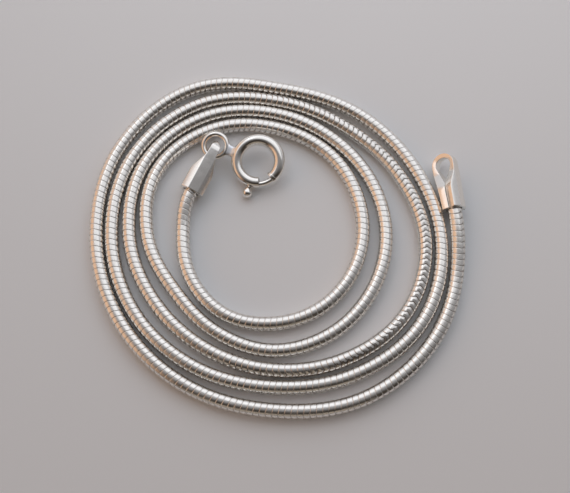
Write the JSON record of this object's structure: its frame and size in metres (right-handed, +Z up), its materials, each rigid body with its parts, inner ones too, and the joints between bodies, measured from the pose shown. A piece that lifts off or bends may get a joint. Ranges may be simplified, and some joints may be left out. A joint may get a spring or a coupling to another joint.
{
  "type": "snake chain necklace",
  "caption": "Silver snake chain necklace in a flat coil, with folded end caps and a spring ring whose bolt slides open.",
  "frame": {"origin": "middle of the bounding box, on the surface that the coil lies on", "axes": "+Z up from the surface, +Y away from the viewer, +X to the viewer's right, where the free end cap lies"},
  "size_m": [0.041, 0.0386, 0.003],
  "materials": {
    "chain_silver": "bright rolled silver bands, darker in the grooves between them",
    "cap_silver": "bright folded silver strip with light scratches",
    "clasp_silver": "polished silver tube, whiter and matte at the solder",
    "bolt_silver": "polished silver wire"
  },
  "bodies": {
    "necklace": {"snake_chain": "chain_silver", "clasp_end_cap": "cap_silver", "free_end_cap": "cap_silver", "spring_ring": "clasp_silver"},
    "sliding_bolt": {"bolt": "bolt_silver"}
  },
  "joints": [
    {"name": "bolt_slide", "type": "hinge", "parent": "necklace", "child": "sliding_bolt", "pos_m": [-0.00236, 0.00853, 0.00161], "axis": [0.0914, 0.2511, -0.9636], "range_deg": [0, 42], "stiffness_Nm_per_rad": 0.002, "springref_deg": -28.65}
  ]
}
